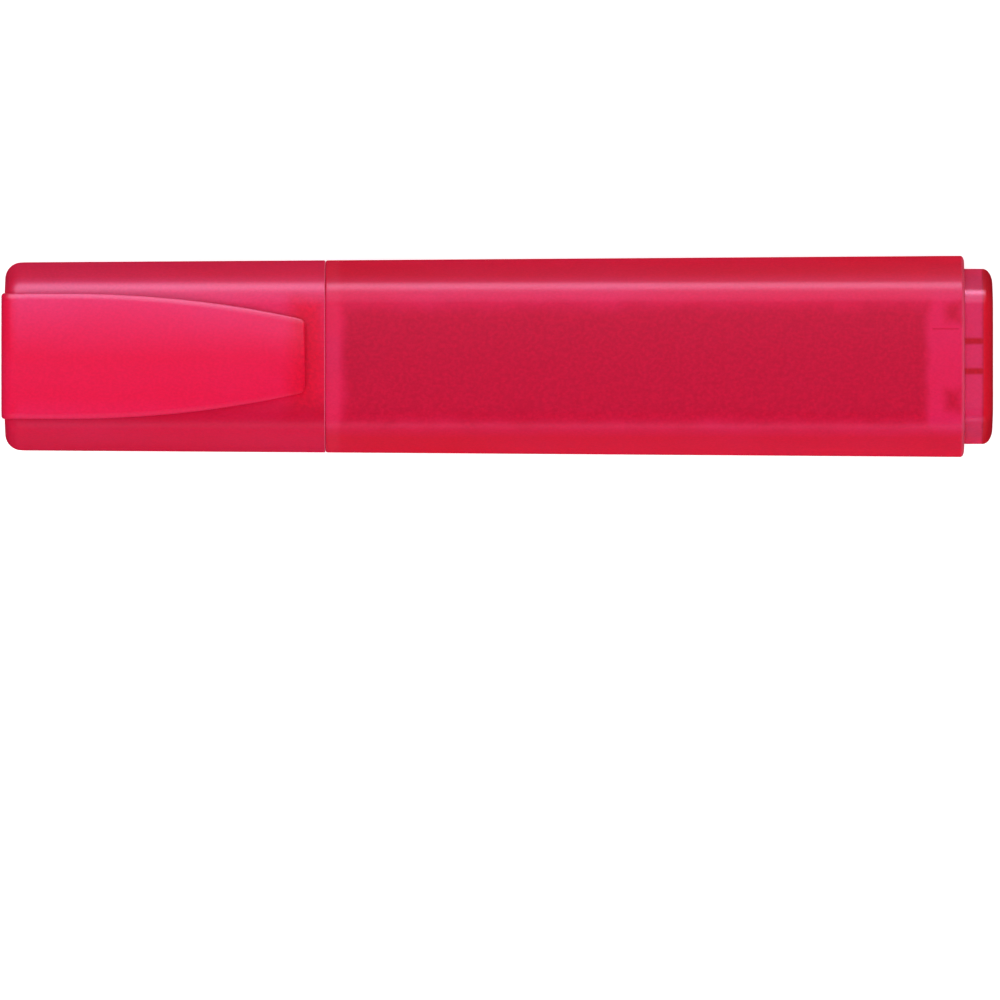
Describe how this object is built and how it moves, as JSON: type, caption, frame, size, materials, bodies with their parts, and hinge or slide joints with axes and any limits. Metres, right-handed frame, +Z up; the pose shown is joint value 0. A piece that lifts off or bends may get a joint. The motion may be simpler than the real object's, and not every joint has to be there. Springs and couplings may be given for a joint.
{
  "type": "highlighter",
  "caption": "Flat highlighter pen with a chisel nib, frosted barrel over a fibre ink reservoir, pull-off cap with a flexing clip, and an end plug.",
  "frame": {"origin": "under the middle of the capped pen, on the surface that it lies on", "axes": "+X along the pen from the cap to the end plug, +Z up through the clip's side, +Y across the pen"},
  "size_m": [0.12, 0.0244, 0.016],
  "materials": {
    "frosted_barrel": "frosted translucent pinkish red",
    "clear_holder": "polished translucent pink",
    "inked_fibre": "pressed fibre soaked in ink",
    "inked_wadding": "bundled fibre soaked in ink",
    "film": "thin clear film",
    "plug_plastic": "translucent red",
    "frosted_cap": "frosted translucent pinkish red",
    "clear_inner_cap": "translucent pale pink"
  },
  "bodies": {
    "pen": {"barrel": "frosted_barrel", "nib_holder": "clear_holder", "nib": "inked_fibre", "ink_reservoir": "inked_wadding", "reservoir_film": "film", "end_plug": "plug_plastic"},
    "cap": {"cap_shell": "frosted_cap", "inner_cap": "clear_inner_cap"},
    "clip": {"clip": "frosted_cap"}
  },
  "joints": [
    {"name": "cap_pull", "type": "slide", "parent": "pen", "child": "cap", "axis": [-1, 0, 0], "range_m": [0, 0.032]},
    {"name": "clip_flex", "type": "hinge", "parent": "cap", "child": "clip", "pos_m": [-0.05706, 0, 0.016], "axis": [0, -1, 0], "range_deg": [0, 4], "stiffness_Nm_per_rad": 1.5}
  ]
}
